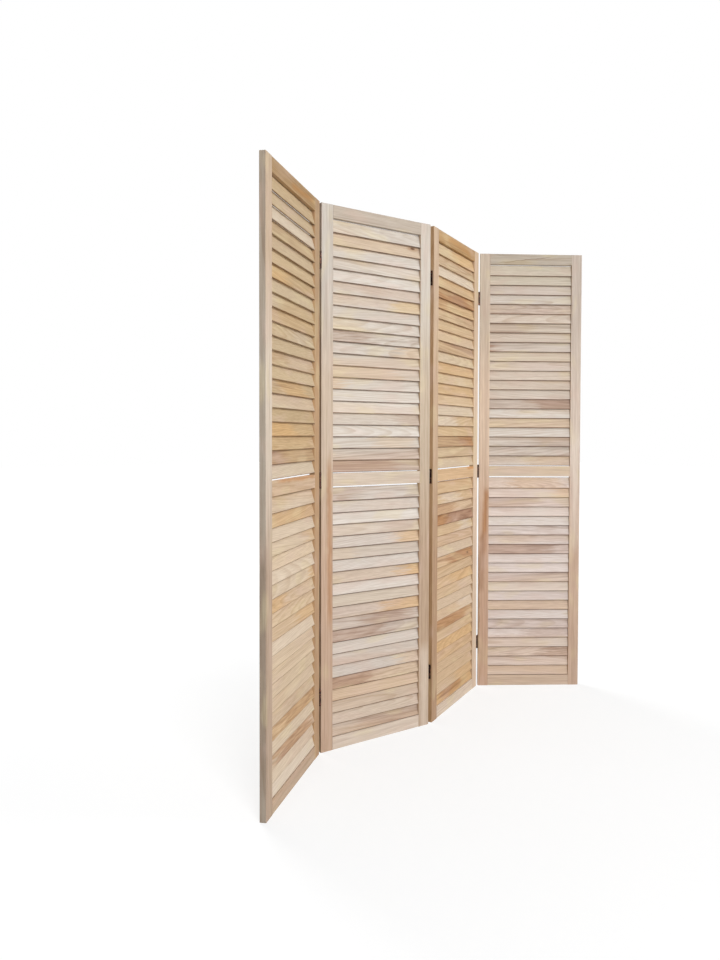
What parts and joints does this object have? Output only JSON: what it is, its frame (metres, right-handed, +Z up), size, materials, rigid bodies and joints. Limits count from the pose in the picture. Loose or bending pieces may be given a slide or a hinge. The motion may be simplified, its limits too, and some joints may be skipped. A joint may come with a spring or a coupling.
{
  "type": "folding louvred screen",
  "caption": "Free-standing folding screen of hinged wooden louvre panels, each a rail-and-stile frame holding two fields of slanted slats, used to divide a room or screen a view",
  "frame": {"origin": "on the floor, at the centre of the screen's footprint as it stands part folded", "axes": "+X runs to the right along the screen, from the first panel's free front corner to the last panel's, +Y points from the front, where the slats' lower edges show, to the back, and +Z points up"},
  "size_m": [1.4408, 0.2956, 1.7],
  "materials": {
    "pine_frame": "planed and sanded, unfinished",
    "pine_slats": "planed and sanded, unfinished, tones mixed from slat to slat",
    "beech_dowel": "turned, unfinished",
    "bronzed_steel": "bronzed, satin",
    "screw_steel": "bronzed, satin"
  },
  "bodies": {
    "panel_1": {"panel_1_left_stile": "pine_frame", "panel_1_right_stile": "pine_frame", "panel_1_top_rail": "pine_frame", "panel_1_middle_rail": "pine_frame", "panel_1_bottom_rail": "pine_frame", "panel_1_upper_slats": "pine_slats", "panel_1_lower_slats": "pine_slats", "panel_1_dowels": "beech_dowel", "fold_1_upper_left_leaf": "bronzed_steel", "fold_1_middle_left_leaf": "bronzed_steel", "fold_1_lower_left_leaf": "bronzed_steel", "fold_1_hinge_pins": "bronzed_steel", "fold_1_left_screws": "screw_steel"},
    "panel_2": {"panel_2_left_stile": "pine_frame", "panel_2_right_stile": "pine_frame", "panel_2_top_rail": "pine_frame", "panel_2_middle_rail": "pine_frame", "panel_2_bottom_rail": "pine_frame", "panel_2_upper_slats": "pine_slats", "panel_2_lower_slats": "pine_slats", "panel_2_dowels": "beech_dowel", "fold_1_upper_right_leaf": "bronzed_steel", "fold_1_middle_right_leaf": "bronzed_steel", "fold_1_lower_right_leaf": "bronzed_steel", "fold_1_right_screws": "screw_steel", "fold_2_upper_left_leaf": "bronzed_steel", "fold_2_middle_left_leaf": "bronzed_steel", "fold_2_lower_left_leaf": "bronzed_steel", "fold_2_hinge_pins": "bronzed_steel", "fold_2_left_screws": "screw_steel"},
    "panel_3": {"panel_3_left_stile": "pine_frame", "panel_3_right_stile": "pine_frame", "panel_3_top_rail": "pine_frame", "panel_3_middle_rail": "pine_frame", "panel_3_bottom_rail": "pine_frame", "panel_3_upper_slats": "pine_slats", "panel_3_lower_slats": "pine_slats", "panel_3_dowels": "beech_dowel", "fold_2_upper_right_leaf": "bronzed_steel", "fold_2_middle_right_leaf": "bronzed_steel", "fold_2_lower_right_leaf": "bronzed_steel", "fold_2_right_screws": "screw_steel", "fold_3_upper_left_leaf": "bronzed_steel", "fold_3_middle_left_leaf": "bronzed_steel", "fold_3_lower_left_leaf": "bronzed_steel", "fold_3_hinge_pins": "bronzed_steel", "fold_3_left_screws": "screw_steel"},
    "panel_4": {"panel_4_left_stile": "pine_frame", "panel_4_right_stile": "pine_frame", "panel_4_top_rail": "pine_frame", "panel_4_middle_rail": "pine_frame", "panel_4_bottom_rail": "pine_frame", "panel_4_upper_slats": "pine_slats", "panel_4_lower_slats": "pine_slats", "panel_4_dowels": "beech_dowel", "fold_3_upper_right_leaf": "bronzed_steel", "fold_3_middle_right_leaf": "bronzed_steel", "fold_3_lower_right_leaf": "bronzed_steel", "fold_3_right_screws": "screw_steel"}
  },
  "joints": [
    {"name": "fold_1", "type": "hinge", "parent": "panel_1", "child": "panel_2", "pos_m": [-0.3774, 0.0789, 0.85], "axis": [0, 0, 1], "range_deg": [-134, 46]},
    {"name": "fold_2", "type": "hinge", "parent": "panel_2", "child": "panel_3", "pos_m": [0.0256, 0.01829, 0.85], "axis": [0, 0, 1], "range_deg": [-30.5, 149.5]},
    {"name": "fold_3", "type": "hinge", "parent": "panel_3", "child": "panel_4", "pos_m": [0.41728, 0.13089, 0.85], "axis": [0, 0, 1], "range_deg": [-117, 63]}
  ]
}
